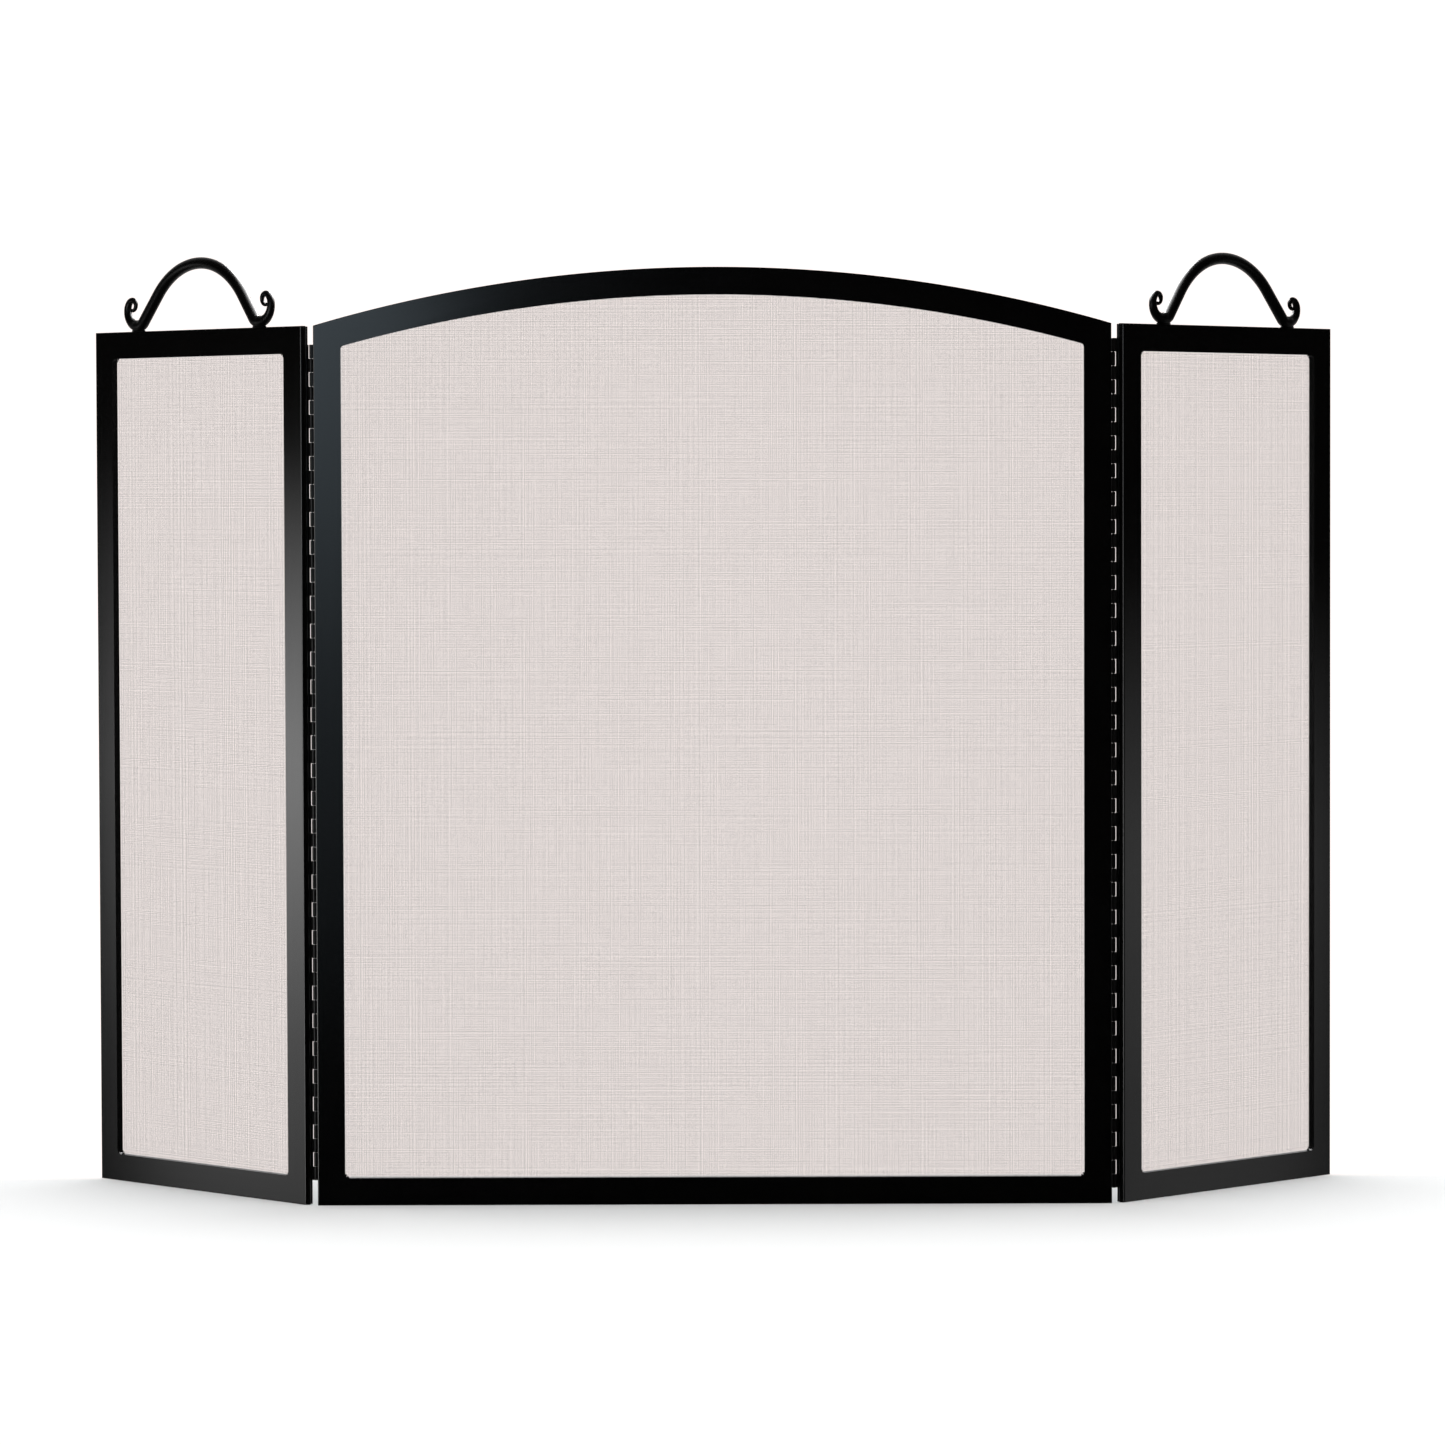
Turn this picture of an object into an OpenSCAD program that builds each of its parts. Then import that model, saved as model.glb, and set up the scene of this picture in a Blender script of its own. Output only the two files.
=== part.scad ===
// Three-panel folding fireplace screen.
// Flat-bar steel frames hold a fine woven wire mesh under thin strips that are screwed on
// behind it. The side panels swing on continuous hinges behind the centre panel's stiles,
// and each carries a forged handle on its top rail.
//
// Axes: the front faces -Y, X runs along the centre panel and Z is up. The origin is on the
// floor, in the middle of the centre panel's bottom rail.
// A panel is drawn flat: its front face at y = 0, its depth along +Y, its width along X.

/* [Panels] */
// Width of the centre panel
centre_w = 724; // [640:1:1000]
// Height of the side panels, and of the centre panel at its shoulders
panel_h = 801; // [798:1:1000]
// Height of the centre panel's arch above its shoulders
arch_rise = 52; // [20:1:90]
// Width of each side panel
side_w = 305; // [260:1:315]
// How far each side panel stands folded back from the centre panel's line
fold_rest = 46.5; // [10:0.5:90]

/* [Frame bars] */
// Width of the flat bar
bar_w = 25; // [25:1:35]
// Thickness of the flat bar
bar_t = 6.4; // [5:0.1:8]
// Radius left by the weld in each inside corner
corner_r = 3.2; // [2:0.1:8]

/* [Mesh and its strips] */
// Thickness of the woven wire mesh
mesh_t = 0.4; // [0.3:0.1:1]
// Distance from the frame's outline to the mesh's edge
mesh_inset = 1.5; // [1:0.5:3]
// Width of the strips that clamp the mesh
strip_w = 20; // [16:1:24]
// Thickness of the strips that clamp the mesh
strip_t = 1.9; // [1:0.1:2]
// Distance from the frame's outline to the strips' edge
strip_inset = 0.5; // [0.3:0.1:1]

/* [Hinges] */
// Length of one hinge knuckle with its gap
knuckle = 12.7; // [12:0.1:13]
// Number of knuckles on the left and right hinges
knuckles = [60, 61]; // [57:1:61]
// Height of the lower end of the left and right hinges
hinge_foot = [22.15, 13.15]; // [10:0.05:23]
// Outside diameter of the knuckles
barrel_d = 3.8; // [3.6:0.1:4.2]
// Diameter of the hinge pin
pin_d = 2; // [1.8:0.1:2.2]
// Thickness of the hinge leaves
leaf_t = 0.9; // [0.8:0.05:1]
// Width of each hinge leaf from the frame's edge
leaf_w = 16; // [14:1:18]
// Gap between two frames when the panels stand in line
panel_gap = 4.4; // [4.4:0.1:5]

/* [Screws] */
// Diameter of the screw shanks
screw_d = 2.9; // [2.5:0.1:3.2]
// Diameter of the screw heads
head_d = 5.6; // [5:0.1:6]
// Height of the screw heads
head_h = 0.9; // [0.8:0.05:1]
// Distance between the screws of a hinge leaf
leaf_pitch = 101.6; // [90:0.1:102]

/* [Handles] */
// Diameter of the handle's round bar
handle_d = 10.75; // [9:0.25:11]
// Height of the bar's middle at the top of the left and right arches, above the rail
handle_h = [61.4, 62.4]; // [58:0.1:66]
// Distance from the hinge edge to the top of the left and right arches
handle_u = [150.4, 147.8]; // [145:0.1:155]
// Radius of the left handle's arch, on the hinge side and on the outer side
left_arch = [79, 83.5]; // [74:0.5:88]
// Radius of the right handle's arch, on the hinge side and on the outer side
right_arch = [78.5, 86]; // [74:0.5:88]
// Slope of the left handle's legs, on the hinge side and on the outer side
left_lean = [53, 48.5]; // [47:0.5:54]
// Slope of the right handle's legs, on the hinge side and on the outer side
right_lean = [54, 48]; // [47:0.5:54]
// Radius of the bend between a leg and its foot
foot_r = 8; // [7:0.5:11]
// Size of the left handle's scrolls, at the hinge end and at the outer end
left_scrolls = [1.1, 1.04]; // [0.9:0.01:1.15]
// Size of the right handle's scrolls, at the hinge end and at the outer end
right_scrolls = [0.98, 0.9]; // [0.9:0.01:1.15]

/* [Hidden] */
$fn = 48;
EDGE_NAMES = ["bottom", "right", "top", "left"];
SIDES = ["left", "right"];
BOTTOM = 0;
OUTER = 1;
TOP = 2;
INNER = 3;

// Frame colours
FRAME_COLOUR = [0.06, 0.06, 0.065];
STRIP_COLOUR = [0.09, 0.09, 0.095];
MESH_COLOUR = [0.22, 0.2, 0.19];
HINGE_COLOUR = [0.08, 0.08, 0.085];
SCREW_COLOUR = [0.15, 0.15, 0.16];

// How far a corner weld reaches into the bars
weld_bite = 1;

// Depths behind a panel's front face
mesh_y = bar_t;
strip_y = mesh_y + mesh_t;
back_y = strip_y + strip_t;
leaf_back_y = back_y + leaf_t;

// The pin stands in the middle of the gap, just behind the frames' backs. The leaves' front
// faces are sunk a little into the knuckles.
barrel_r = barrel_d / 2;
barrel_sink = 0.1;
pin_out = panel_gap / 2;
pin_y = back_y + barrel_r - barrel_sink;
pin_clearance = 0.05;
knuckle_clearance = 0.3;
leaf_clearance = 0.3;

// Screw holes and their places
tap_depth = 5;
tap_d = screw_d + 0.1;
hole_d = screw_d + 0.5;
mesh_hole_d = screw_d + 1.1;
screw_bite = 4.5;
drive_w = 0.7;
drive_l = 3.2;
drive_depth = 0.5;
strip_line = strip_inset + strip_w / 2;
leaf_screw_inset = 9;
centre_leaf_screws = 8;
side_leaf_screws = 7;
centre_rail_screws = [-270, -90, 90, 270];
side_rail_screws = [80, 225];
outer_stile_screws = [for (i = [0:4]) panel_h / 2 + (i - 2) * 150];

// The arch is one circle through both shoulders and the crown
arch_r = (pow(centre_w / 2, 2) + pow(arch_rise, 2)) / (2 * arch_rise);
arch_fn = 1440;
arch_z = panel_h + arch_rise - arch_r;

// Every panel is [left edge, right edge, rise of its top]
CENTRE = [-centre_w / 2, centre_w / 2, arch_rise];
SIDE = [0, side_w, 0];

// ---- Panel outlines ----

// Height of a panel's top edge at x, for an outline moved in by inset
function top_at(panel, x, inset) =
    panel[2] == 0
        ? panel_h - inset
        : arch_z + sqrt(pow(arch_r - inset, 2) - x * x);

// The four corners of a panel's outline moved in by inset: bottom left, bottom right,
// top right, top left
function corners(panel, inset) =
    let (x0 = panel[0] + inset, x1 = panel[1] - inset)
    [[x0, inset], [x1, inset], [x1, top_at(panel, x1, inset)], [x0, top_at(panel, x0, inset)]];

// The area inside a panel's outline moved in by inset
module outline(panel, inset) {
    width = panel[1] - panel[0] - 2 * inset;
    if (panel[2] == 0)
        translate([panel[0] + inset, inset]) square([width, panel_h - 2 * inset]);
    else
        intersection() {
            translate([panel[0] + inset, inset]) square([width, panel_h + panel[2]]);
            translate([0, arch_z]) circle(arch_r - inset, $fn = arch_fn);
        }
}

// Which way a corner of the opening lies from the panel's middle, sideways
function side_way(panel, corner) = corner[0] < (panel[0] + panel[1]) / 2 ? -1 : 1;

// Centre of the round that fills a corner of the frame's opening
function corner_centre(panel, corner) =
    let (x = corner[0] - side_way(panel, corner) * corner_r)
    [x, corner[1] < panel_h / 2 ? corner[1] + corner_r : top_at(panel, x, bar_w + corner_r)];

// Direction from that centre square on to the rail: down, up, or along the arch's radius
function rail_way(panel, corner) =
    corner[1] < panel_h / 2
        ? [0, -1]
        : panel[2] == 0
            ? [0, 1]
            : (corner_centre(panel, corner) - [0, arch_z]) / (arch_r - bar_w - corner_r);

// The weld left in a corner of the opening, reaching weld_bite into both bars
module corner_weld(panel, corner) {
    centre = corner_centre(panel, corner);
    to_stile = [side_way(panel, corner), 0];
    to_rail = rail_way(panel, corner);
    difference() {
        polygon([
            centre,
            centre + to_stile * (corner_r + weld_bite),
            corner + (to_stile + to_rail) * weld_bite,
            centre + to_rail * (corner_r + weld_bite)
        ]);
        translate(centre) circle(corner_r);
    }
}

// The whole frame face of a panel, before it is split into bars
module frame_face(panel) {
    difference() {
        outline(panel, 0);
        difference() {
            outline(panel, bar_w);
            for (corner = corners(panel, bar_w)) corner_weld(panel, corner);
        }
    }
}

// The ring that the clamping strips cover
module strip_face(panel) {
    difference() {
        outline(panel, strip_inset);
        outline(panel, strip_inset + strip_w);
    }
}

// The area on one edge's side of the mitres, which run through the corners of the outline
// and of its opening
module edge_area(panel, edge, inset, width) {
    outer = corners(panel, inset);
    inner = corners(panel, inset + width);
    a = edge;
    b = (edge + 1) % 4;
    crown = [(panel[0] + panel[1]) / 2, panel_h + 2 * panel[2] + bar_w];
    polygon(concat(
        [outer[b] + (outer[b] - inner[b]) / 2],
        edge == TOP ? [crown] : [],
        [outer[a] + (outer[a] - inner[a]) / 2,
         inner[a] + (inner[a] - outer[a]) / 2,
         inner[b] + (inner[b] - outer[b]) / 2]
    ));
}

// Stands a flat face up, from depth y0 to y1
module slab(y0, y1) {
    translate([0, y1, 0]) rotate([90, 0, 0]) linear_extrude(y1 - y0) children();
}

// Round rods along the depth at the places [x, z], from depth y0 to y1
module rods(places, d, y0, y1) {
    for (place = places)
        translate([place[0], y1, place[1]]) rotate([90, 0, 0]) cylinder(h = y1 - y0, d = d);
}

// ---- Screw places on the panels ----

// Heights of the screws of a hinge leaf
function leaf_screw_heights(side, count) =
    let (middle = hinge_foot[side] + knuckles[side] * knuckle / 2)
    [for (i = [0 : count - 1]) middle + (i - (count - 1) / 2) * leaf_pitch];

function centre_rail_places() =
    [for (x = centre_rail_screws)
        for (z = [strip_line, top_at(CENTRE, x, strip_line)]) [x, z]];

function centre_leaf_places(side) =
    let (x = (side == 0 ? -1 : 1) * (centre_w / 2 - leaf_screw_inset))
    [for (z = leaf_screw_heights(side, centre_leaf_screws)) [x, z]];

function centre_places() =
    concat(centre_rail_places(), centre_leaf_places(0), centre_leaf_places(1));

function side_strip_places() = concat(
    [for (x = side_rail_screws) for (z = [strip_line, panel_h - strip_line]) [x, z]],
    [for (z = outer_stile_screws) [side_w - strip_line, z]]
);

function side_leaf_places(side) =
    [for (z = leaf_screw_heights(side, side_leaf_screws)) [leaf_screw_inset, z]];

function side_places(side) = concat(side_strip_places(), side_leaf_places(side));

// ---- Pieces of one panel, drawn flat ----

// One flat bar of the frame, with blind tapped holes from behind
module bar(panel, edge, places) {
    color(FRAME_COLOUR)
        difference() {
            slab(0, bar_t) intersection() {
                frame_face(panel);
                edge_area(panel, edge, 0, bar_w);
            }
            rods(places, tap_d, bar_t - tap_depth, bar_t + 1);
        }
}

// The woven mesh, as the plate that it fills
module mesh(panel, places) {
    color(MESH_COLOUR)
        difference() {
            slab(mesh_y, mesh_y + mesh_t) outline(panel, mesh_inset);
            rods(places, mesh_hole_d, mesh_y - 1, mesh_y + mesh_t + 1);
        }
}

// One strip that clamps the mesh to a bar
module strip(panel, edge, places) {
    color(STRIP_COLOUR)
        difference() {
            slab(strip_y, back_y) intersection() {
                strip_face(panel);
                edge_area(panel, edge, strip_inset, strip_w);
            }
            rods(places, hole_d, strip_y - 1, back_y + 1);
        }
}

// A low-headed screw whose head sits on the plane z = 0 and whose shank points down
module screw(length) {
    difference() {
        rotate_extrude()
            polygon([
                [0, -length],
                [screw_d / 2, -length],
                [screw_d / 2, 0],
                [head_d / 2, 0],
                [head_d / 2, head_h * 0.35],
                [head_d * 0.4, head_h * 0.8],
                [head_d * 0.22, head_h],
                [0, head_h]
            ]);
        for (turn = [0, 90])
            rotate([0, 0, turn])
                translate([-drive_l / 2, -drive_w / 2, head_h - drive_depth])
                    cube([drive_l, drive_w, 1]);
    }
}

// Screws whose heads sit at depth y, with shanks that reach into the bar
module screws(places, y) {
    color(SCREW_COLOUR)
        for (place = places)
            translate([place[0], y, place[1]])
                rotate([-90, 0, 0]) screw(y - bar_t + screw_bite);
}

// ---- Continuous hinge ----
// Drawn with its pin's axis on the Z axis and its leaf reaching along +X.

// Which knuckles a leaf has: every second one, from first
function own_knuckles(side, first) = [for (i = [first : 2 : knuckles[side] - 1]) i];

module leaf(side, first, screw_count) {
    foot = hinge_foot[side];
    length = knuckles[side] * knuckle;
    front = back_y - pin_y;
    edge = pin_out + leaf_clearance;
    gap = knuckle_clearance;
    color(HINGE_COLOUR)
        difference() {
            union() {
                translate([edge, front, foot + gap / 2])
                    cube([pin_out + leaf_w - edge, leaf_t, length - gap]);
                for (i = own_knuckles(side, first))
                    translate([0, 0, foot + i * knuckle + gap / 2]) {
                        cylinder(h = knuckle - gap, r = barrel_r);
                        translate([0, front, 0]) cube([edge + 1, leaf_t, knuckle - gap]);
                    }
            }
            translate([0, 0, foot - 1])
                cylinder(h = length + 2, r = pin_d / 2 + pin_clearance);
            rods(
                [for (z = leaf_screw_heights(side, screw_count)) [pin_out + leaf_screw_inset, z]],
                hole_d, front - 1, front + leaf_t + 1
            );
        }
}

module hinge_pin(side) {
    length = knuckles[side] * knuckle;
    color(SCREW_COLOUR)
        translate([0, 0, hinge_foot[side] + knuckle_clearance / 2])
            cylinder(h = length - knuckle_clearance, d = pin_d);
}

// ---- Handle ----
// Its middle line lies in the panel's plane, as points [x, z] from the middle of the rail's
// top edge. Half of it is a run of arcs from the crown down to the scroll's tip.

handle_sides = 12;
foot_h = handle_d / 2;
foot_flat = 3;

// One half of a handle is [height at the crown, arch radius, slope of the leg, scroll size].
// Each handle has its hinge side's half first.
LEFT_HALVES = [for (i = [0, 1]) [handle_h[0], left_arch[i], left_lean[i], left_scrolls[i]]];
RIGHT_HALVES = [for (i = [0, 1]) [handle_h[1], right_arch[i], right_lean[i], right_scrolls[i]]];

// Length of a half's straight leg
function leg_l(half) =
    (half[0] - foot_h - (half[1] + foot_r) * (1 - cos(half[2]))) / sin(half[2]);

// How far out from the crown a half's foot stands
function foot_x(half) =
    (half[1] + foot_r) * sin(half[2]) + leg_l(half) * cos(half[2]) + foot_flat / 2;

// Each stretch is [signed radius, turn, steps]; a straight one is [0, length, steps]
function stretches(half) = [
    [-half[1], -half[2], 6],
    [0, leg_l(half), 3],
    [foot_r, half[2], 4],
    [0, foot_flat, 1],
    [14.2 * half[3], 90, 7],
    [10 * half[3], 45, 4],
    [6 * half[3], 45, 4],
    [4.6 * half[3], 90, 7],
    [4.6 * half[3], 90, 7],
    [6 * half[3], 15, 2]
];

// Bar radius along the scroll, by how far the line has turned up from level
function bar_radius(heading) =
    lookup(heading, [[0, handle_d * 0.5], [45, handle_d * 0.39], [90, handle_d * 0.33],
                     [180, handle_d * 0.255], [270, handle_d * 0.185], [375, handle_d * 0.155]]);

// Position after turning from heading a to b on radius r, or after a straight length
function step_to(point, heading, stretch, part) =
    stretch[0] == 0
        ? point + stretch[1] * part * [cos(heading), sin(heading)]
        : let (b = heading + stretch[1] * part)
          point + stretch[0] * [sin(b) - sin(heading), cos(heading) - cos(b)];

function turn_of(stretch) = stretch[0] == 0 ? 0 : stretch[1];

// Stations [x, z, heading, radius] along a list of stretches
function run(list, i, point, heading) =
    i == len(list)
        ? []
        : concat(
            [for (k = [1 : list[i][2]])
                let (
                    part = k / list[i][2],
                    p = step_to(point, heading, list[i], part),
                    h = heading + turn_of(list[i]) * part
                )
                [p[0], p[1], h, bar_radius(h)]],
            run(list, i + 1, step_to(point, heading, list[i], 1), heading + turn_of(list[i]))
        );

// The tip is closed by one smaller ring beyond the last station
function tip(station) =
    let (reach = station[3] * 0.7)
    [station[0] + reach * cos(station[2]), station[1] + reach * sin(station[2]),
     station[2], station[3] * 0.6];

function half_line(half) =
    let (line = run(stretches(half), 0, [0, half[0]], 0))
    concat(line, [tip(line[len(line) - 1])]);

// The same stations on the other side, in the order that leads to the crown
function mirrored(line) =
    [for (i = [len(line) - 1 : -1 : 0]) [-line[i][0], line[i][1], -line[i][2], line[i][3]]];

function whole_line(halves) = concat(
    mirrored(half_line(halves[0])),
    [[0, halves[0][0], 0, handle_d / 2]],
    half_line(halves[1])
);

function ring(station) =
    [for (j = [0 : handle_sides - 1])
        let (
            a = 360 * j / handle_sides,
            lift = station[3] * cos(a)
        )
        [station[0] - lift * sin(station[2]), station[3] * sin(a),
         station[1] + lift * cos(station[2])]];

module swept_bar(line) {
    n = handle_sides;
    last = len(line) - 1;
    polyhedron(
        points = [for (station = line) each ring(station)],
        faces = concat(
            [for (i = [0 : last - 1], j = [0 : n - 1])
                [i * n + j, i * n + (j + 1) % n, (i + 1) * n + j]],
            [for (i = [0 : last - 1], j = [0 : n - 1])
                [i * n + (j + 1) % n, (i + 1) * n + (j + 1) % n, (i + 1) * n + j]],
            [[for (j = [n - 1 : -1 : 0]) j]],
            [[for (j = [0 : n - 1]) last * n + j]]
        )
    );
}

// The weld that fills the wedges between a foot and the rail
weld_l = 18;
weld_h = 2.4;

module foot_weld() {
    slab(-bar_t / 2, bar_t / 2)
        polygon([
            [-weld_l / 2, 0],
            [weld_l / 2, 0],
            [weld_l / 2 - 1, weld_h],
            [1 - weld_l / 2, weld_h]
        ]);
}

module handle(halves, crown_u) {
    color(FRAME_COLOUR)
        translate([crown_u, bar_t / 2, panel_h]) {
            swept_bar(whole_line(halves));
            for (x = [-foot_x(halves[0]), foot_x(halves[1])])
                translate([x, 0, 0]) foot_weld();
        }
}

// ---- Assembly ----

// Puts a piece drawn flat into the centre panel's place
module in_centre() {
    translate([0, -bar_t / 2, 0]) children();
}

// Mirrors what is drawn for the right side when side is 0, the left
module on_side(side) {
    if (side == 0)
        mirror([1, 0, 0]) children();
    else
        children();
}

// Puts a piece drawn about the hinge's axis in place, turned with the centre panel
module at_pin() {
    translate([centre_w / 2 + pin_out, pin_y - bar_t / 2, 0]) children();
}

// Puts a piece drawn flat into the folded side panel's place
module in_side() {
    at_pin()
        rotate([0, 0, fold_rest])
            translate([pin_out, -pin_y, 0])
                children();
}

in_centre() bar(CENTRE, INNER, centre_leaf_places(0));  // centre_left_stile
in_centre() bar(CENTRE, OUTER, centre_leaf_places(1));  // centre_right_stile
in_centre() bar(CENTRE, TOP, centre_rail_places());  // centre_top_rail
in_centre() bar(CENTRE, BOTTOM, centre_rail_places());  // centre_bottom_rail
in_centre() mesh(CENTRE, centre_places());  // centre_mesh
for (edge = [BOTTOM : INNER])
    in_centre() strip(CENTRE, edge, centre_places());
in_centre() screws(centre_rail_places(), back_y);  // centre_strip_screws

for (side = [0, 1]) {
    name = SIDES[side];
    on_side(side) in_side() bar(SIDE, INNER, side_leaf_places(side));
    on_side(side) in_side() bar(SIDE, OUTER, side_strip_places());
    on_side(side) in_side() bar(SIDE, TOP, side_strip_places());
    on_side(side) in_side() bar(SIDE, BOTTOM, side_strip_places());
    on_side(side) in_side() mesh(SIDE, side_places(side));
    on_side(side) in_side() strip(SIDE, INNER, side_places(side));
    on_side(side) in_side() strip(SIDE, OUTER, side_places(side));
    on_side(side) in_side() strip(SIDE, TOP, side_places(side));
    on_side(side) in_side() strip(SIDE, BOTTOM, side_places(side));
    on_side(side) in_side() screws(side_strip_places(), back_y);
    on_side(side) at_pin() mirror([1, 0, 0]) leaf(side, 1, centre_leaf_screws);
    on_side(side) at_pin() rotate([0, 0, fold_rest]) leaf(side, 0, side_leaf_screws);
    on_side(side) at_pin() hinge_pin(side);
    in_centre() screws(centre_leaf_places(side), leaf_back_y);
    on_side(side) in_side() screws(side_leaf_places(side), leaf_back_y);
    on_side(side) in_side()
            handle(side == 0 ? LEFT_HALVES : RIGHT_HALVES, handle_u[side]);
}
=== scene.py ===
"""Looks of the folding fireplace screen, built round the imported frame. Lengths are in metres.

Each panel has its own flat coordinates: u runs along its bottom from the lower left corner of
the centre panel, or from a wing's hinge edge outward; v is the depth behind its front face;
z is up.
"""

import math
import random

import bmesh
import bpy
from mathutils import Matrix, Vector


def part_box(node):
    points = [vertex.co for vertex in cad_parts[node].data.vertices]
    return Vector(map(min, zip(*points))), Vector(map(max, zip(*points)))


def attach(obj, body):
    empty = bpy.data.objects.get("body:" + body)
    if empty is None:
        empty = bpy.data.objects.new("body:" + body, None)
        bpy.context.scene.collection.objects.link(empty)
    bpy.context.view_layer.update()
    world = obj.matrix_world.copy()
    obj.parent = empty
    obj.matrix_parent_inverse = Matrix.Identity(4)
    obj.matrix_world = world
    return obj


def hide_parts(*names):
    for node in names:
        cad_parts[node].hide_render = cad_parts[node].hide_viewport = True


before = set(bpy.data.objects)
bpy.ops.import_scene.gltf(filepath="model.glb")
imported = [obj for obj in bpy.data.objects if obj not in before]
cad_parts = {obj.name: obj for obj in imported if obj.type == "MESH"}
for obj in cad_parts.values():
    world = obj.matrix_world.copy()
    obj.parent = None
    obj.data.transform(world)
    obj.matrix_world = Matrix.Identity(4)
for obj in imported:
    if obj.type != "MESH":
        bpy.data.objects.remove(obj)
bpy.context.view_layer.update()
# Draws for the welds and the screws' turns, and for the wires of the mesh
rng = random.Random(7)
weave_rng = random.Random(11)

# ---- Sizes that the frame's boxes don't give ----

# Bars, mesh and strips, from a panel's front to its back
BAR_W = 0.025
BAR_T = 0.0064
MESH_T = 0.0004
MESH_INSET = 0.0015
STRIP_T = 0.0019
STRIP_W = 0.020
STRIP_INSET = 0.0005
BACK_V = BAR_T + MESH_T + STRIP_T
# Fillet in the corners of an opening, and rounding of the edges
CORNER_R = 0.0032
BAR_EDGE = 0.0011
STRIP_EDGE = 0.0003

# Hinges: PIN_OUT and PIN_V place the pin from a panel's edge and from its front
KNUCKLE = 0.0127
KNUCKLE_GAP = 0.0003
KNUCKLE_CHAMFER = 0.00018
BARREL_R = 0.0019
LEAF_T = 0.0009
LEAF_W = 0.016
LEAF_GAP = 0.0003
LEAF_ROUNDING = 0.00015
TAB_REACH = 0.0012
PIN_OUT = 0.0022
PIN_V = 0.0105
PIN_R = 0.001

# Screws, with the cross cut in their heads
HEAD_R = 0.0028
HEAD_H = 0.0009
SHANK_R = 0.00145
SHANK_L = 0.006
SLOT_L = 0.0032
SLOT_W = 0.0006
SLOT_DEPTH = 0.00055

# Wires of the mesh, and how far one may lie off its even place, in pitches
WIRE_R = 0.0001
WIRE_PITCH = 0.000775
WING_PITCH_U = 0.0013
WIRE_STRAY = 0.2

# Handles: bar, the bend between a leg and its foot, and the foot's flat
HANDLE_R = 0.005375
FOOT_R = 0.008
FOOT_FLAT = 0.003
# Each handle's crown: its height above the rail and its distance from the hinge edge. Each of
# its halves, the hinge side's first: arch radius, slope of the leg and size of the scroll.
CROWNS = {"left": (0.0614, 0.1504), "right": (0.0624, 0.1478)}
HALVES = {"left": ((0.079, math.radians(53.0), 1.10), (0.0835, math.radians(48.5), 1.04)),
          "right": ((0.0785, math.radians(54.0), 0.98), (0.086, math.radians(48.0), 0.90))}
# The arcs of a scroll of size 1: radius, turn in degrees and steps
SCROLL_ARCS = [(0.0142, 90, 20), (0.010, 45, 10), (0.006, 45, 10),
               (0.0046, 90, 16), (0.0046, 90, 16), (0.006, 15, 4)]
# How the bar tapers along a scroll: degrees turned up from level, share of its radius
SCROLL_TAPER = [(0, 1.0), (45, 0.78), (90, 0.66), (180, 0.51), (270, 0.37), (375, 0.31)]
# The bead of weld at a foot, sunk a little into the rail
WELD_HALF_L = 0.0088
WELD_HALF_W = 0.0032
WELD_H = 0.0046
WELD_SINK = 0.0004

# Sides of the round pieces, and the angles past which an edge stays sharp
WIRE_SIDES, PIN_SIDES, SCREW_SIDES, HANDLE_SIDES, WELD_SIDES = 6, 20, 32, 28, 20
WELD_STATIONS = 16
PLATE_SHARP, ROLLED_SHARP, TURNED_SHARP = (math.radians(a) for a in (60, 40, 35))


# ---- Camera ----

SENSOR_MM = 36.0
LENS_MM = 149.2
EYE_X, EYE_BACK, EYE_Z = 0.022, 5.438, 0.649
PITCH_YAW_ROLL = (-2.204, 0.144, -0.187)


def set_camera():
    """The photograph's view: from in front, a little right of the middle, with a long lens."""
    data = bpy.data.cameras.new("camera")
    data.sensor_width = SENSOR_MM
    data.lens = LENS_MM
    data.clip_start = 0.05
    data.clip_end = 60.0
    camera = bpy.data.objects.new("camera", data)
    bpy.context.scene.collection.objects.link(camera)
    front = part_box("centre_bottom_rail")[0].y
    place = Matrix.Translation((EYE_X, front - EYE_BACK, EYE_Z))
    pitch, yaw, roll = (math.radians(a) for a in PITCH_YAW_ROLL)
    turn = Matrix.Rotation(yaw, 4, "Z") @ Matrix.Rotation(math.pi / 2 + pitch, 4, "X")
    camera.matrix_world = place @ turn @ Matrix.Rotation(roll, 4, "Z")
    bpy.context.scene.camera = camera


set_camera()


# ---- Panels ----

# A panel's edges and corners go round in this order
EDGES = ("bottom", "right", "top", "left")
ARC_STEPS = 96


class Panel:
    """One panel's place, its flat coordinates and its outline."""

    def __init__(self, name, body, origin, u_axis, v_axis, width, height, rise):
        self.name, self.body = name, body
        self.width, self.height, self.rise = width, height, rise
        self.matrix = Matrix((u_axis, v_axis, (0, 0, 1))).transposed().to_4x4()
        self.matrix.translation = origin
        self.radius = (width ** 2 / 4 + rise ** 2) / (2 * rise) if rise else None

    def top(self, u, inset=0.0):
        """Height of the outline moved in by inset, at u."""
        if self.radius is None:
            return self.height - inset
        offset = u - self.width / 2
        centre = self.height + self.rise - self.radius
        return centre + math.sqrt((self.radius - inset) ** 2 - offset ** 2)

    def corners(self, inset):
        """Bottom left, bottom right, top right and top left of the outline moved in."""
        low, high = inset, self.width - inset
        return [(low, inset), (high, inset),
                (high, self.top(high, inset)), (low, self.top(low, inset))]

    def top_line(self, u0, u1, inset):
        """Points along the top from u0 to u1, ends left out. A straight top needs none."""
        if self.radius is None:
            return []
        return [(u, self.top(u, inset))
                for u in (u0 + (u1 - u0) * i / ARC_STEPS for i in range(1, ARC_STEPS))]


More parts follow.
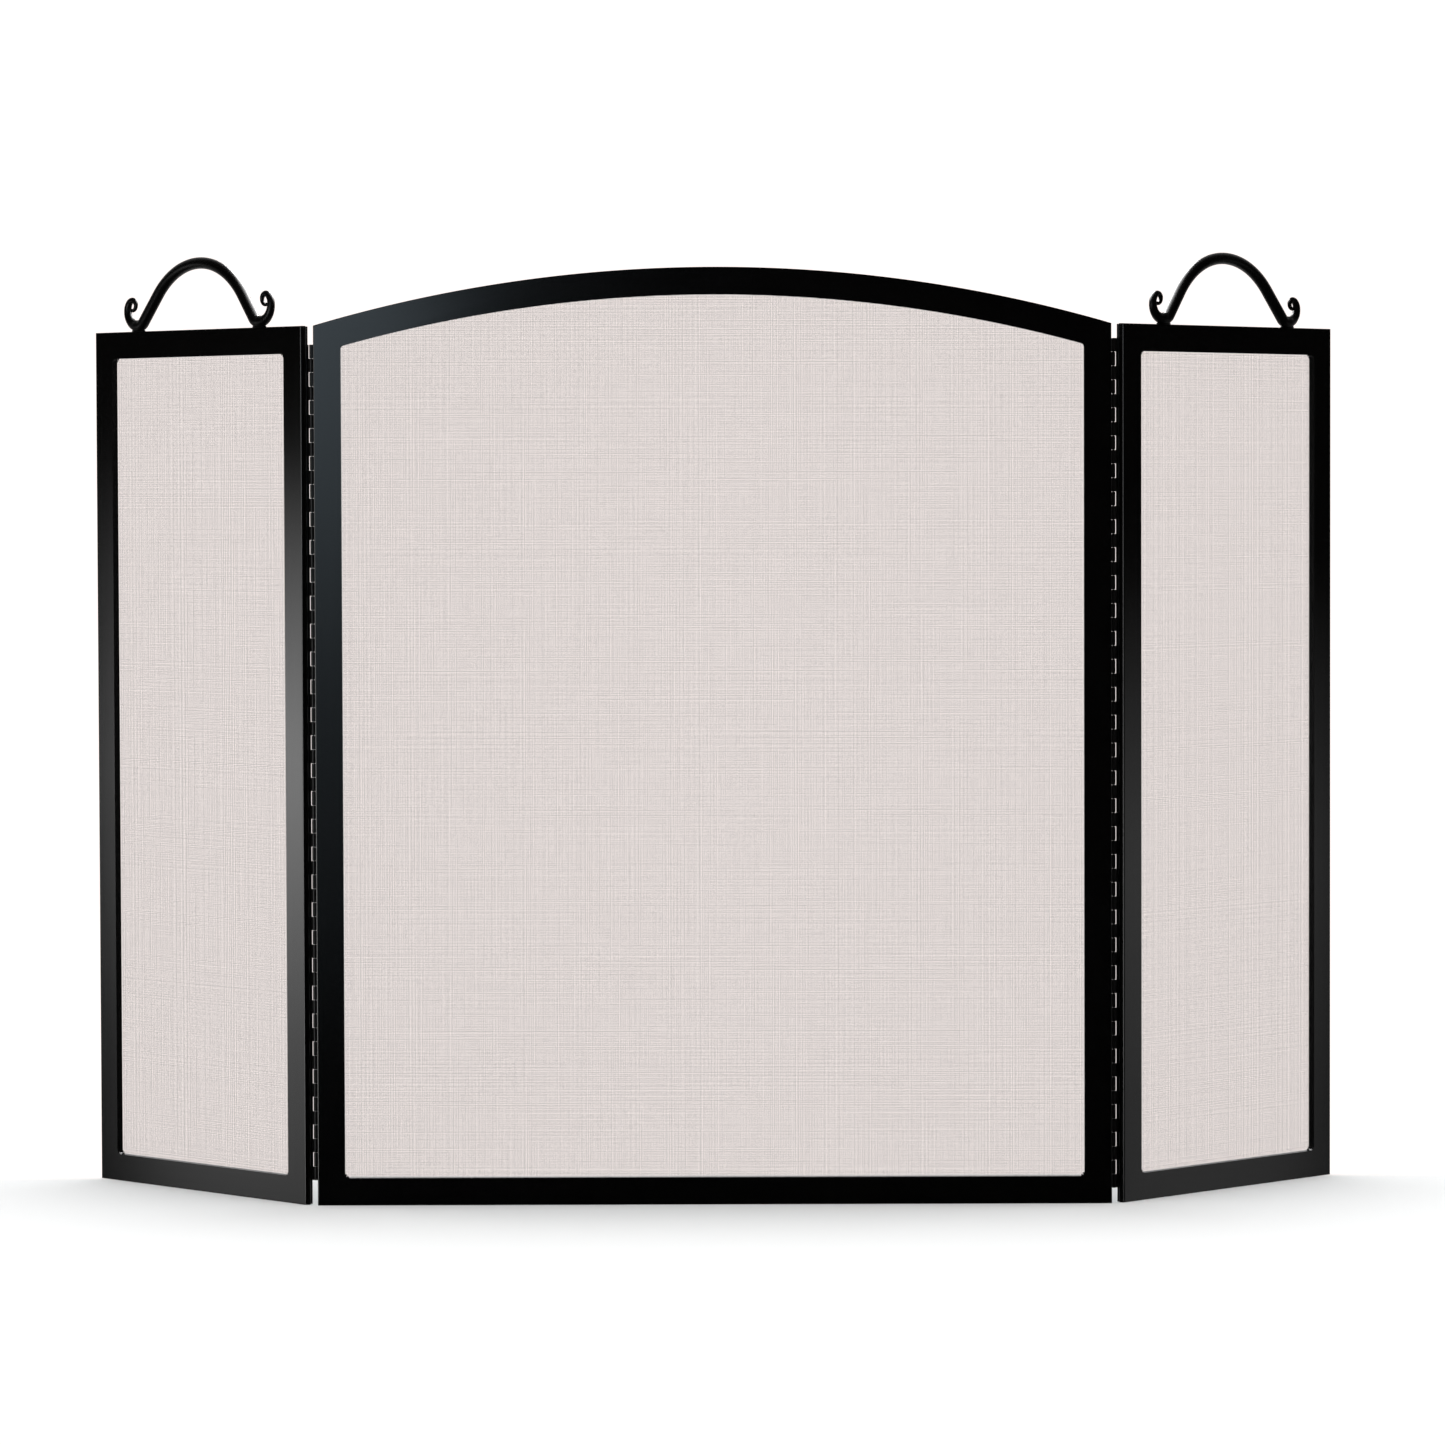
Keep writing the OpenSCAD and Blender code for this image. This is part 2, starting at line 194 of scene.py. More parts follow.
def centre_panel():
    """The centre panel. Its coordinates are the frame's, moved to its lower left corner."""
    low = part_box("centre_bottom_rail")[0]
    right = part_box("centre_bottom_rail")[1].x
    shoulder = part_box("centre_left_stile")[1].z
    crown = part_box("centre_top_rail")[1].z
    return Panel("centre", "centre_panel", low, (1, 0, 0), (0, 1, 0),
                 right - low.x, shoulder, crown - shoulder)


def wing_panel(side):
    """A wing's axes, from its bottom rail: the front corner by the hinge and the outer one."""
    sign = -1 if side == "left" else 1
    rail = [v.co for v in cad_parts[side + "_bottom_rail"].data.vertices]
    hinge = min(rail, key=lambda p: (round(p.y, 5), p.z))
    outer = max(rail, key=lambda p: (round(p.x * sign, 5), -p.z))
    across = Vector((outer.x - hinge.x, outer.y - hinge.y, 0))
    u_axis = across.normalized()
    v_axis = Vector((-u_axis.y, u_axis.x, 0)) * sign
    origin = Vector((hinge.x, hinge.y, 0))
    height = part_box(side + "_hinge_stile")[1].z
    return Panel(side, side + "_panel", origin, u_axis, v_axis, across.length, height, 0.0)


centre = centre_panel()
wings = {side: wing_panel(side) for side in ("left", "right")}


# ---- Making meshes ----

def new_object(name, mesh):
    piece = bpy.data.objects.new(name, mesh)
    bpy.context.scene.collection.objects.link(piece)
    return piece


def object_from(name, bm):
    """An object made from a bmesh, which is freed."""
    mesh = bpy.data.meshes.new(name)
    bm.to_mesh(mesh)
    bm.free()
    return new_object(name, mesh)


def smooth_piece(name, bm):
    """A smooth-shaded object from a bmesh, its faces turned outward."""
    bmesh.ops.recalc_face_normals(bm, faces=bm.faces)
    piece = object_from(name, bm)
    for polygon in piece.data.polygons:
        polygon.use_smooth = True
    return piece


def placed(name, bm, panel):
    """A piece from a bmesh drawn in a panel's flat coordinates."""
    bm.transform(panel.matrix)
    return smooth_piece(name, bm)


def weigh_normals(piece):
    """Keeps flat faces flat-looking and rounds only the edges between them."""
    piece.data.set_sharp_from_angle(angle=PLATE_SHARP)
    modifier = piece.modifiers.new("normals", "WEIGHTED_NORMAL")
    modifier.keep_sharp = True
    modifier.weight = 95


def finish_piece(piece, panel, material, slot, *nodes):
    """Gives a piece its material and the body it rides on, and hides the nodes it replaces. Its
    slot argument is not used.
    """
    piece.data.materials.append(material)
    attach(piece, panel.body)
    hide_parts(*nodes)


def plate(name, panel, outline, v0, v1, edge):
    """A flat plate from depth v0 to v1 with rounded edges. outline is a list of
    (u, z, joint), where joint says that the edge to the next point meets another piece."""
    bm = bmesh.new()
    front = [bm.verts.new((u, v0, z)) for u, z, _ in outline]
    back = [bm.verts.new((u, v1, z)) for u, z, _ in outline]
    bm.faces.new(front)
    bm.faces.new(reversed(back))
    count = len(outline)
    for i in range(count):
        j = (i + 1) % count
        bm.faces.new((front[i], back[i], back[j], front[j]))
    rounded = []
    for ring in (front, back):
        for i in range(count):
            if not outline[i][2]:
                rounded.append(bm.edges.get((ring[i], ring[(i + 1) % count])))
    bmesh.ops.bevel(bm, geom=rounded, offset=edge, offset_type="OFFSET", segments=3,
                    profile=0.5, affect="EDGES", clamp_overlap=True)
    piece = placed(name, bm, panel)
    weigh_normals(piece)
    return piece


# ---- Frame bars and strips ----

CORNER_STEPS = 8


def opening_corner(panel, right, top):
    """Points round one corner of a frame's opening, from its stile to its rail."""
    stile_u = panel.width - BAR_W if right else BAR_W
    centre_u = stile_u + (-CORNER_R if right else CORNER_R)
    if top:
        centre_z = panel.top(centre_u, BAR_W + CORNER_R)
    else:
        centre_z = BAR_W + CORNER_R
    rail_way = Vector((0, 1 if top else -1))
    if top and panel.radius:
        arch_z = panel.height + panel.rise - panel.radius
        rail_way = Vector((centre_u - panel.width / 2, centre_z - arch_z)).normalized()
    stile_way = Vector((1 if right else -1, 0))
    whole = stile_way.angle(rail_way)
    points = []
    for i in range(CORNER_STEPS + 1):
        part = i / CORNER_STEPS
        way = stile_way * math.sin((1 - part) * whole) + rail_way * math.sin(part * whole)
        way /= math.sin(whole)
        points.append((centre_u + CORNER_R * way.x, centre_z + CORNER_R * way.y))
    return points


def outline_of(*runs):
    """Joins runs of points. The edge after each run is a joint with the next piece."""
    points = []
    for run in runs:
        points += [(u, z, False) for u, z in run[:-1]]
        points.append((*run[-1], True))
    return points


def stile_outline(panel, right):
    """The left or right bar, mitred at both ends, with half of each rounded corner."""
    outer = panel.corners(0)
    low, high = (outer[1], outer[2]) if right else (outer[0], outer[3])
    top = opening_corner(panel, right, True)
    bottom = opening_corner(panel, right, False)
    half = len(top) // 2
    return outline_of([low, high], top[half::-1] + bottom[:half + 1])


def rail_outline(panel, top):
    """The bottom or top bar, with the other half of each rounded corner."""
    outer = panel.corners(0)
    left, right = (outer[3], outer[2]) if top else (outer[0], outer[1])
    left_round = opening_corner(panel, False, top)
    right_round = opening_corner(panel, True, top)
    half = len(left_round) // 2
    over, under = [], []
    if top:
        over = panel.top_line(left[0], right[0], 0)
        under = panel.top_line(right_round[-1][0], left_round[-1][0], BAR_W)
    return outline_of([left, *over, right],
                      right_round[half:] + under + left_round[:half - 1:-1])


def strip_outline(panel, edge):
    """One of the strips, numbered as EDGES is."""
    inset = STRIP_INSET + STRIP_W
    outer, inner = panel.corners(STRIP_INSET), panel.corners(inset)
    a, b = edge, (edge + 1) % 4
    over, under = [], []
    if EDGES[edge] == "top":
        over = panel.top_line(outer[a][0], outer[b][0], STRIP_INSET)
        under = panel.top_line(inner[b][0], inner[a][0], inset)
    return outline_of([outer[a], *over, outer[b]], [inner[b], *under, inner[a]])


def build_frame(panel, bar_names, strip_names):
    """A panel's four bars and four strips. Names go as EDGES does."""
    outlines = [rail_outline(panel, False), stile_outline(panel, True),
                rail_outline(panel, True), stile_outline(panel, False)]
    paints = [rail_paint, stile_paint, rail_paint, stile_paint]
    for name, outline, paint in zip(bar_names, outlines, paints):
        piece = plate(f"{name}_bar", panel, outline, 0, BAR_T, BAR_EDGE)
        finish_piece(piece, panel, paint, "frame_bar", name)
    for edge, name in enumerate(strip_names):
        piece = plate(f"{name}_plate", panel, strip_outline(panel, edge),
                      BAR_T + MESH_T, BACK_V, STRIP_EDGE)
        finish_piece(piece, panel, strip_paint, "clamp_strip", name)


# ---- Wire mesh ----

def add_wire(verts, faces, start, end):
    """A straight round wire between two points that differ along one axis, u or z."""
    sides = WIRE_SIDES
    along_u = start[2] == end[2]
    base = len(verts)
    for u, v, z in (start, end):
        for k in range(sides):
            angle = 2 * math.pi * (k + 0.5) / sides
            side, depth = WIRE_R * math.cos(angle), WIRE_R * math.sin(angle)
            verts.append((u, v + depth, z + side) if along_u else (u + side, v + depth, z))
    for k in range(sides):
        n = (k + 1) % sides
        faces.append((base + k, base + n, base + sides + n, base + sides + k))
    faces.append(tuple(base + k for k in range(sides - 1, -1, -1)))
    faces.append(tuple(base + sides + k for k in range(sides)))


def stray():
    """How far a wire lies off its even place, in pitches."""
    return weave_rng.uniform(-WIRE_STRAY, WIRE_STRAY)


def build_mesh(panel, pitch_u, material):
    """The woven mesh, as two layers of fine wire that touch where they cross, each wire a
    little off its even place."""
    inset = MESH_INSET
    middle = BAR_T + MESH_T / 2
    verts, faces = [], []
    count_u = int((panel.width - 2 * inset) / pitch_u)
    first_u = (panel.width - count_u * pitch_u) / 2
    for i in range(count_u + 1):
        u = first_u + (i + stray()) * pitch_u
        v = middle - WIRE_R
        add_wire(verts, faces, (u, v, inset), (u, v, panel.top(u, inset)))
    tallest = panel.height + panel.rise - inset
    count_z = int((tallest - inset) / WIRE_PITCH)
    for i in range(count_z + 1):
        z = inset + (i + 0.5 + stray()) * WIRE_PITCH
        half = panel.width / 2 - inset
        if panel.radius and z > panel.top(inset, inset):
            rise = z - (panel.height + panel.rise - panel.radius)
            half = math.sqrt(max((panel.radius - inset) ** 2 - rise ** 2, 0))
        if half > WIRE_PITCH:
            v = middle + WIRE_R
            ends = (panel.width / 2 - half, panel.width / 2 + half)
            add_wire(verts, faces, (ends[0], v, z), (ends[1], v, z))
    mesh = bpy.data.meshes.new(panel.name + "_wire_mesh")
    mesh.from_pydata(verts, [], faces)
    mesh.transform(panel.matrix)
    if panel.matrix.to_3x3().determinant() < 0:
        mesh.flip_normals()
    piece = new_object(mesh.name, mesh)
    finish_piece(piece, panel, material, "mesh_wire", panel.name + "_mesh")


# ---- Hinges ----

# Steps round a rolled knuckle, and the angle where its seam lies open
ROLL_STEPS = 26
SEAM = 0.16


def knuckle_profile(leaf_front):
    """Outline of a rolled knuckle and the tab that joins it to its leaf, as (q, w): q out
    from the pin's axis towards the leaf, w behind the axis. leaf_front is negative."""
    leaf_back = leaf_front + LEAF_T
    reach = PIN_OUT + LEAF_GAP + TAB_REACH
    start = math.asin(leaf_back / BARREL_R)
    points = [(reach, leaf_front), (reach, leaf_back)]
    turn = 2 * math.pi - (math.pi / 2 + start) - SEAM
    for i in range(ROLL_STEPS + 1):
        angle = start + SEAM + turn * i / ROLL_STEPS
        points.append((BARREL_R * math.cos(angle), BARREL_R * math.sin(angle)))
    return points


def extrude_profile(bm, profile, z0, z1, chamfer):
    """A closed prism along z whose ends are chamfered towards the profile's middle."""
    middle_q = sum(q for q, _ in profile) / len(profile)
    middle_w = sum(w for _, w in profile) / len(profile)
    rings = []
    for z, inset in ((z0, chamfer), (z0 + chamfer, 0), (z1 - chamfer, 0), (z1, chamfer)):
        shrink = 1 - inset / BARREL_R
        rings.append([bm.verts.new((middle_q + (q - middle_q) * shrink,
                                    middle_w + (w - middle_w) * shrink, z))
                      for q, w in profile])
    count = len(profile)
    for low, high in zip(rings, rings[1:]):
        for i in range(count):
            j = (i + 1) % count
            bm.faces.new((low[i], low[j], high[j], high[i]))
    bm.faces.new(reversed(rings[0]))
    bm.faces.new(rings[-1])


def add_box(bm, low, high, edge):
    """A box with rounded edges."""
    box = bmesh.new()
    made = bmesh.ops.create_cube(box, size=1.0)
    size = Vector(high) - Vector(low)
    middle = (Vector(high) + Vector(low)) / 2
    bmesh.ops.scale(box, vec=size, verts=made["verts"])
    bmesh.ops.translate(box, vec=middle, verts=made["verts"])
    bmesh.ops.bevel(box, geom=box.edges[:], offset=edge, segments=2, profile=0.5,
                    affect="EDGES")
    add_sorted(bm, box)
    box.free()


def add_sorted(bm, other):
    """Adds another bmesh, its points and faces sorted by place. A bevel leaves them in an
    order of chance, and each run of this script is to give the same mesh."""
    places = sorted(vert.co[:] for vert in other.verts)
    numbers = {place: n for n, place in enumerate(places)}
    verts = [bm.verts.new(place) for place in places]
    rings = []
    for face in other.faces:
        ring = [numbers[vert.co[:]] for vert in face.verts]
        first = ring.index(min(ring))
        rings.append(ring[first:] + ring[:first])
    for ring in sorted(rings):
        bm.faces.new([verts[n] for n in ring])


class HingeSide:
    """Coordinates for a leaf: q out from the pin's axis, w behind it, z up."""

    def __init__(self, panel, at_left_edge):
        self.body = panel.body
        if at_left_edge:
            local = Matrix.Translation((-PIN_OUT, PIN_V, 0))
        else:
            mirror = Matrix.Diagonal((-1, 1, 1, 1))
            local = Matrix.Translation((panel.width + PIN_OUT, PIN_V, 0)) @ mirror
        self.matrix = panel.matrix @ local


def build_leaf(node, side, first, foot, count, material):
    """One leaf of a continuous hinge, with every second knuckle from first."""
    front = BACK_V - PIN_V
    profile = knuckle_profile(front)
    gap = KNUCKLE_GAP / 2
    bm = bmesh.new()
    add_box(bm, (PIN_OUT + LEAF_GAP, front, foot + gap),
            (PIN_OUT + LEAF_W, front + LEAF_T, foot + count * KNUCKLE - gap), LEAF_ROUNDING)
    for i in range(first, count, 2):
        low = foot + i * KNUCKLE
        extrude_profile(bm, profile, low + gap, low + KNUCKLE - gap, KNUCKLE_CHAMFER)
    piece = placed(node + "_rolled", bm, side)
    piece.data.set_sharp_from_angle(angle=ROLLED_SHARP)
    finish_piece(piece, side, material, "hinge_leaf", node)


def build_pin(node, material):
    """The hinge pin, with its ends rounded over."""
    low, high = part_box(node)
    middle = (low + high) / 2
    bm = bmesh.new()
    profile = [(0.0, low.z), (PIN_R * 0.7, low.z), (PIN_R, low.z + PIN_R * 0.4),
               (PIN_R, high.z - PIN_R * 0.4), (PIN_R * 0.7, high.z), (0.0, high.z)]
    lathe(bm, profile, PIN_SIDES)
    bm.transform(Matrix.Translation((middle.x, middle.y, 0)))
    piece = smooth_piece(node + "_rod", bm)
    piece.data.set_sharp_from_angle(angle=TURNED_SHARP)
    finish_piece(piece, centre, material, "hinge_pin", node)


def lathe(bm, profile, sides):
    """A closed solid turned about the Z axis. profile is (radius, z) from pole to pole."""
    rings = []
    for radius, z in profile:
        if radius == 0:
            rings.append([bm.verts.new((0, 0, z))])
        else:
            rings.append([bm.verts.new((radius * math.cos(2 * math.pi * k / sides),
                                        radius * math.sin(2 * math.pi * k / sides), z))
                          for k in range(sides)])
    for low, high in zip(rings, rings[1:]):
        for k in range(sides):
            n = (k + 1) % sides
            corners = [low[k % len(low)], low[n % len(low)],
                       high[n % len(high)], high[k % len(high)]]
            bm.faces.new(list(dict.fromkeys(corners)))


# ---- Screws ----

def screw_blank():
    """A screw with a low pan head, its seat on z = 0 and its shank below."""
    bm = bmesh.new()
    profile = [(0.0, -SHANK_L), (SHANK_R, -SHANK_L), (SHANK_R, 0.0), (HEAD_R * 0.97, 0.0),
               (HEAD_R, HEAD_H * 0.12)]
    for i in range(1, 7):
        angle = math.radians(15 * i)
        radius = HEAD_R * (0.55 + 0.45 * math.cos(angle))
        profile.append((radius, HEAD_H * (0.12 + 0.88 * math.sin(angle))))
    profile.append((0.0, HEAD_H))
    lathe(bm, profile, SCREW_SIDES)
    bmesh.ops.recalc_face_normals(bm, faces=bm.faces)
    return object_from("screw_blank", bm)


def screw_cross():
    """The cross to cut out of a head. Its arms grow shorter downward."""
    bm = bmesh.new()
    for turn in (0, 90):
        made = bmesh.ops.create_cube(bm, size=1.0)
        bmesh.ops.scale(bm, vec=(SLOT_L, SLOT_W, 2 * SLOT_DEPTH), verts=made["verts"])
        for vert in made["verts"]:
            if vert.co.z < 0:
                vert.co.x *= 0.55
        bmesh.ops.translate(bm, vec=(0, 0, HEAD_H), verts=made["verts"])
        bmesh.ops.rotate(bm, cent=(0, 0, 0), verts=made["verts"],
                         matrix=Matrix.Rotation(math.radians(turn), 3, "Z"))
    return object_from("cross", bm)


def screw_template():
    """The mesh of one screw, with its recess cut."""
    blank, cross = screw_blank(), screw_cross()
    cut = blank.modifiers.new("recess", "BOOLEAN")
    cut.operation = "DIFFERENCE"
    cut.solver = "EXACT"
    cut.use_self = True
    cut.object = cross
    bpy.context.view_layer.update()
    evaluated = blank.evaluated_get(bpy.context.evaluated_depsgraph_get())
    result = bpy.data.meshes.new_from_object(evaluated)
    bpy.data.objects.remove(blank)
    bpy.data.objects.remove(cross)
    return result


def build_screws(node, panel, places, depth, template, material):
    """One piece with a screw at each (u, z), its head on the plane at that depth."""
    bm = bmesh.new()
    for u, z in places:
        before = len(bm.verts)
        bm.from_mesh(template)
        bm.verts.ensure_lookup_table()
        turn = Matrix.Rotation(rng.uniform(0, math.pi), 4, "Z")
        lay = Matrix.Rotation(-math.pi / 2, 4, "X")
        place = Matrix.Translation((u, depth, z)) @ lay @ turn
        bmesh.ops.transform(bm, matrix=place, verts=bm.verts[before:])
    piece = placed(node + "_set", bm, panel)
    piece.data.set_sharp_from_angle(angle=TURNED_SHARP)
    finish_piece(piece, panel, material, "screw", node)


# ---- Handles ----

def leg_length(crown_z, half):
    """Length of the straight leg between the arch and the bend above the foot."""
    arch_r, lean, _ = half
    return (crown_z - HANDLE_R - (arch_r + FOOT_R) * (1 - math.cos(lean))) / math.sin(lean)


def stretches(crown_z, half):
    """The handle's middle line from its crown: (radius, turn) or (0, length), and steps."""
    arch_r, lean, scroll = half
    return [(-arch_r, -lean, 28), (0, leg_length(crown_z, half), 12), (FOOT_R, lean, 12),
            (0, FOOT_FLAT, 3),
            *((r * scroll, math.radians(turn), steps) for r, turn, steps in SCROLL_ARCS)]


def bar_radius(heading):
    """The bar's radius along a scroll, by how far the line has turned up from level."""
    degrees = math.degrees(heading)
    if degrees <= 0:
        return HANDLE_R
    for (a, ra), (b, rb) in zip(SCROLL_TAPER, SCROLL_TAPER[1:]):
        if degrees <= b:
            return HANDLE_R * (ra + (rb - ra) * (degrees - a) / (b - a))
    return HANDLE_R * SCROLL_TAPER[-1][1]


def half_line(crown_z, half):
    """Stations (x, z, heading, radius) from just past the crown to the scroll's tip."""
    x, z, heading = 0.0, crown_z, 0.0
    line = []
    for radius, amount, steps in stretches(crown_z, half):
        for i in range(1, steps + 1):
            part = amount * i / steps
            if radius == 0:
                here = (x + part * math.cos(heading), z + part * math.sin(heading), heading)
            else:
                after = heading + part
                here = (x + radius * (math.sin(after) - math.sin(heading)),
                        z + radius * (math.cos(heading) - math.cos(after)), after)
            line.append((*here, bar_radius(here[2])))
        x, z, heading = line[-1][:3]
    return line + round_tip(*line[-1])


def round_tip(x, z, heading, radius):
    """Stations that round off the bar's end."""
    tip = []
    for i in range(1, 6):
        angle = math.radians(18 * i)
        reach = radius * math.sin(angle)
        tip.append((x + reach * math.cos(heading), z + reach * math.sin(heading), heading,
                    radius * max(math.cos(angle), 0.12)))
    return tip


def join_rings(bm, rings):
    """Skins a run of vertex rings and closes both ends."""
    sides = len(rings[0])
    for low, high in zip(rings, rings[1:]):
        for k in range(sides):
            n = (k + 1) % sides
            bm.faces.new((low[k], low[n], high[n], high[k]))
    bm.faces.new(reversed(rings[0]))
    bm.faces.new(rings[-1])


def add_weld(bm, u, base_z):
    """The bead that fills the wedges between a foot and the rail, its girth a little uneven."""
    rings = []
    for i in range(WELD_STATIONS + 1):
        along = math.pi * (0.04 + 0.92 * i / WELD_STATIONS)
        girth = math.sin(along) ** 0.55 * rng.uniform(0.95, 1.0)
        ring = []
        for k in range(WELD_SIDES):
            angle = 2 * math.pi * k / WELD_SIDES
            ring.append(bm.verts.new((u - WELD_HALF_L * math.cos(along),
                                      BAR_T / 2 + WELD_HALF_W * girth * math.cos(angle),
                                      base_z - WELD_SINK + WELD_H * girth * math.sin(angle))))
        rings.append(ring)
    join_rings(bm, rings)


def build_handle(side, panel, material):
    """The forged handle, swept as one round bar, and the welds at its feet."""
    crown_z, crown_u = CROWNS[side]
    inner, outer = (half_line(crown_z, half) for half in HALVES[side])
    line = [(-x, z, -h, r) for x, z, h, r in reversed(inner)]
    line += [(0.0, crown_z, 0.0, HANDLE_R)] + outer
    bm = bmesh.new()
    rings = []
    for x, z, heading, radius in line:
        ring = []
        for k in range(HANDLE_SIDES):
            angle = 2 * math.pi * k / HANDLE_SIDES
            lift = radius * math.cos(angle)
            ring.append(bm.verts.new((crown_u + x - lift * math.sin(heading),
                                      BAR_T / 2 + radius * math.sin(angle),
                                      panel.height + z + lift * math.cos(heading))))
        rings.append(ring)
    join_rings(bm, rings)
    for way, half in zip((-1, 1), HALVES[side]):
        arch_r, lean, _ = half
        reach = (arch_r + FOOT_R) * math.sin(lean) + leg_length(crown_z, half) * math.cos(lean)
        add_weld(bm, crown_u + way * (reach + FOOT_FLAT / 2), panel.height)
    piece = placed(side + "_forged_handle", bm, panel)
    finish_piece(piece, panel, material, "handle", side + "_handle")


# ---- Materials ----

def shader(name, colour, roughness, metallic=0.0):
    """A new material, with its nodes, its links and its main shader."""
    material = bpy.data.materials.new(name)
    material.use_nodes = True
    nodes, links = material.node_tree.nodes, material.node_tree.links
    bsdf = nodes["Principled BSDF"]
    bsdf.inputs["Base Color"].default_value = (*colour, 1)
    bsdf.inputs["Roughness"].default_value = roughness
    bsdf.inputs["Metallic"].default_value = metallic
    return material, nodes, links, bsdf


def add_node(nodes, kind, **values):
    """A new node. Each value sets the input of that name, or else the property."""
    node = nodes.new(kind)
    for key, value in values.items():
        if key in node.inputs:
            node.inputs[key].default_value = value
        else:
            setattr(node, key, value)
    return node


def add_ramp(nodes, low, low_colour, high, high_colour):
    """A colour ramp between two places on its scale."""
    ramp = add_node(nodes, "ShaderNodeValToRGB")
    first, last = ramp.color_ramp.elements
    first.position, first.color = low, (*low_colour, 1)
    last.position, last.color = high, (*high_colour, 1)
    return ramp


def coated(name, colour, light_colour, roughness, stretch, bump, spread=0.05, specular=0.5):
    """Powder coat or paint. Its colour drifts slowly, and its gloss and surface vary with a
    fine grain; stretch gives the grain's frequency along x, y and z, and spread how far its
    roughness varies each way."""
    material, nodes, links, bsdf = shader(name, colour, roughness)
    bsdf.inputs["Specular IOR Level"].default_value = specular
    place = add_node(nodes, "ShaderNodeTexCoord")
    drift = add_node(nodes, "ShaderNodeTexNoise", Scale=14.0, Detail=3.0)
    squash = add_node(nodes, "ShaderNodeMapping", Scale=stretch)
    grain = add_node(nodes, "ShaderNodeTexNoise", Scale=1.0, Detail=2.0, Roughness=0.55)
    links.new(place.outputs["Object"], drift.inputs["Vector"])
    links.new(place.outputs["Object"], squash.inputs["Vector"])
    links.new(squash.outputs["Vector"], grain.inputs["Vector"])
    colours = add_ramp(nodes, 0.35, colour, 0.7, light_colour)
    links.new(drift.outputs["Fac"], colours.inputs["Fac"])
    links.new(colours.outputs["Color"], bsdf.inputs["Base Color"])
    gloss = add_node(nodes, "ShaderNodeMapRange")
    gloss.inputs["To Min"].default_value = roughness - spread
    gloss.inputs["To Max"].default_value = roughness + spread
    links.new(grain.outputs["Fac"], gloss.inputs["Value"])
    links.new(gloss.outputs["Result"], bsdf.inputs["Roughness"])
    dents = add_node(nodes, "ShaderNodeBump", Strength=bump, Distance=0.0001)
    links.new(grain.outputs["Fac"], dents.inputs["Height"])
    links.new(dents.outputs["Normal"], bsdf.inputs["Normal"])
    return material


def wire_material():
    """Black wire, mottled brown and grey every few millimetres."""
    material, nodes, links, bsdf = shader("black_wire", (0.05, 0.045, 0.045), 0.5)
    place = add_node(nodes, "ShaderNodeTexCoord")
    mottle = add_node(nodes, "ShaderNodeTexNoise", Scale=420.0, Detail=2.0, Roughness=0.6)
    links.new(place.outputs["Object"], mottle.inputs["Vector"])
    colours = add_ramp(nodes, 0.4, (0.004, 0.004, 0.004), 0.6, (0.11, 0.095, 0.09))
    links.new(mottle.outputs["Fac"], colours.inputs["Fac"])
    links.new(colours.outputs["Color"], bsdf.inputs["Base Color"])
    return material


# The bars' grain runs along them
stile_paint = coated("black_coat_upright", (0.0012, 0.0012, 0.0012), (0.002, 0.002, 0.002),
                     0.18, (500, 500, 10), 0.03, spread=0.015)
rail_paint = coated("black_coat_level", (0.0012, 0.0012, 0.0012), (0.002, 0.002, 0.002),
                    0.18, (10, 10, 500), 0.03, spread=0.015)
strip_paint = coated("black_strip_coat", (0.0015, 0.0015, 0.0015), (0.003, 0.003, 0.003),
                     0.34, (900, 900, 900), 0.2)
handle_paint = coated("forged_black_coat", (0.001, 0.001, 0.001), (0.002, 0.002, 0.002),
                      0.34, (330, 330, 330), 0.25, specular=0.12)
wire_paint = wire_material()
hinge_paint = coated("black_hinge_paint", (0.005, 0.005, 0.005), (0.009, 0.009, 0.009),
                     0.34, (1100, 1100, 1100), 0.2, specular=0.15)
screw_paint = coated("black_oxide", (0.01, 0.01, 0.01), (0.018, 0.017, 0.016),
                     0.36, (2500, 2500, 2500), 0.2)
pin_steel, *_ = shader("drawn_steel", (0.35, 0.35, 0.36), 0.32, 1.0)


# ---- Building the object ----

CENTRE_BARS = ("bottom_rail", "right_stile", "top_rail", "left_stile")
WING_BARS = ("bottom_rail", "outer_stile", "top_rail", "hinge_stile")
WING_EDGES = ("bottom", "outer", "top", "hinge")

build_frame(centre, [f"centre_{bar}" for bar in CENTRE_BARS],
            [f"centre_{edge}_strip" for edge in EDGES])
build_mesh(centre, WIRE_PITCH, wire_paint)
screw = screw_template()

for side, panel in wings.items():
    build_frame(panel, [f"{side}_{bar}" for bar in WING_BARS],
                [f"{side}_{edge}_strip" for edge in WING_EDGES])
    build_mesh(panel, WING_PITCH_U, wire_paint)
    build_handle(side, panel, handle_paint)
    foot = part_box(f"{side}_hinge_side_leaf")[0].z - KNUCKLE_GAP / 2
    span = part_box(f"{side}_hinge_side_leaf")[1].z + KNUCKLE_GAP / 2 - foot
    count = round(span / KNUCKLE)
    build_leaf(f"{side}_hinge_side_leaf", HingeSide(panel, True), 0, foot, count, hinge_paint)
    build_leaf(f"{side}_hinge_centre_leaf", HingeSide(centre, side == "left"), 1, foot, count,
               hinge_paint)
    build_pin(f"{side}_hinge_pin", pin_steel)


# ---- Screw places ----

# The strips' screws go along their middle lines. The leaves' screws stand inset from the
# panel's edge, at an even pitch from the leaf's middle.
STRIP_LINE = STRIP_INSET + STRIP_W / 2
LEAF_LINE = 0.009
LEAF_PITCH = 0.1016
CENTRE_LEAF_SCREWS, WING_LEAF_SCREWS = 8, 7
# Screws of a top or bottom strip, from the centre panel's middle or a wing's hinge edge
CENTRE_SCREWS_U = (-0.27, -0.09, 0.09, 0.27)
WING_SCREWS_U = (0.08, 0.225)
